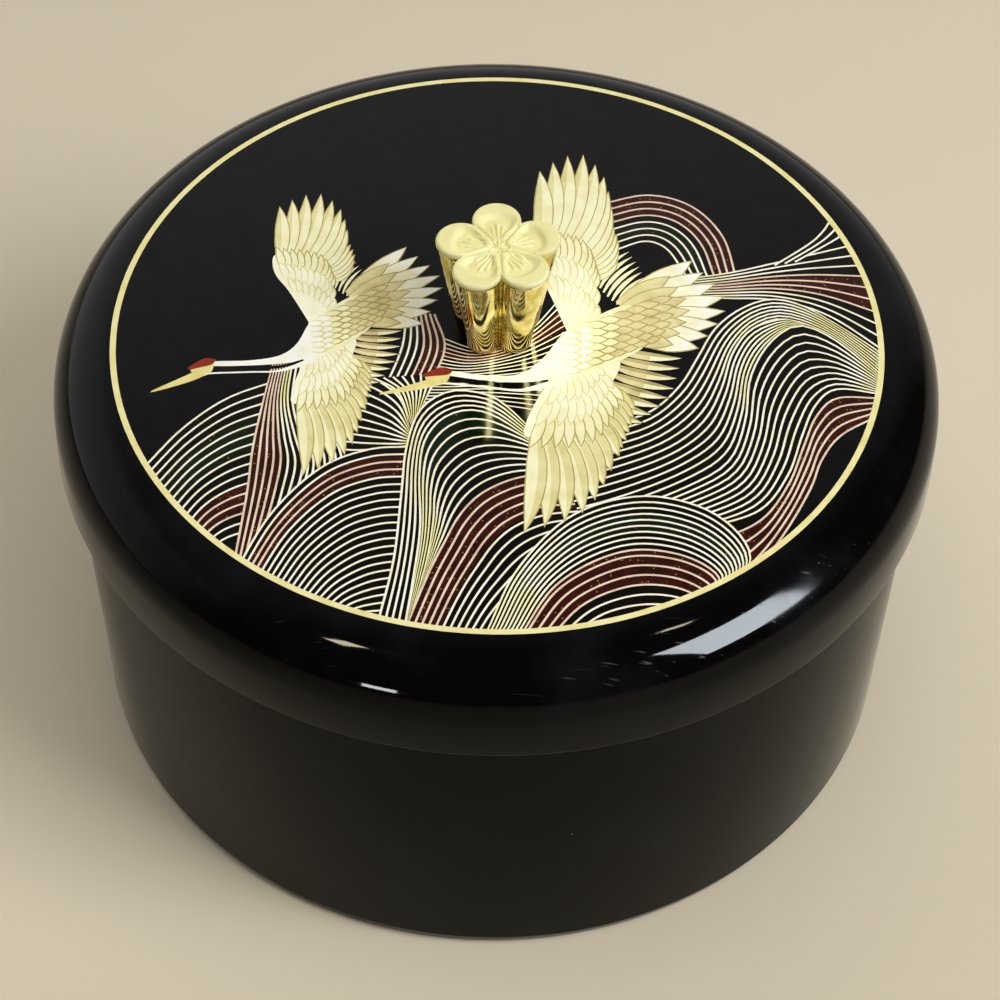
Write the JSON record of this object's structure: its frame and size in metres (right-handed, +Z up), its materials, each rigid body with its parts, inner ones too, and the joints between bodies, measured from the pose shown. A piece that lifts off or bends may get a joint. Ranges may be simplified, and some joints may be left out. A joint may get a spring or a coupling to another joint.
{
  "type": "powder box",
  "caption": "Round black lacquer-look powder box: hollow base, lift-off lid with rounded shoulder and a picture of cranes over waves, gilt blossom knob.",
  "frame": {"origin": "middle of the flat underside", "axes": "+Z up along the box's axis; one petal of the knob points along +Y, turned 4 degrees towards -X, and the picture is upright seen from -Y"},
  "size_m": [0.127, 0.127, 0.0817],
  "materials": {
    "black_lacquer": "black high gloss moulded plastic",
    "gilt": "gold plated, mirror bright sides and a satin blossom face"
  },
  "bodies": {
    "root": {"box_base": "black_lacquer", "box_lid": "black_lacquer", "blossom_knob": "gilt"}
  },
  "joints": []
}
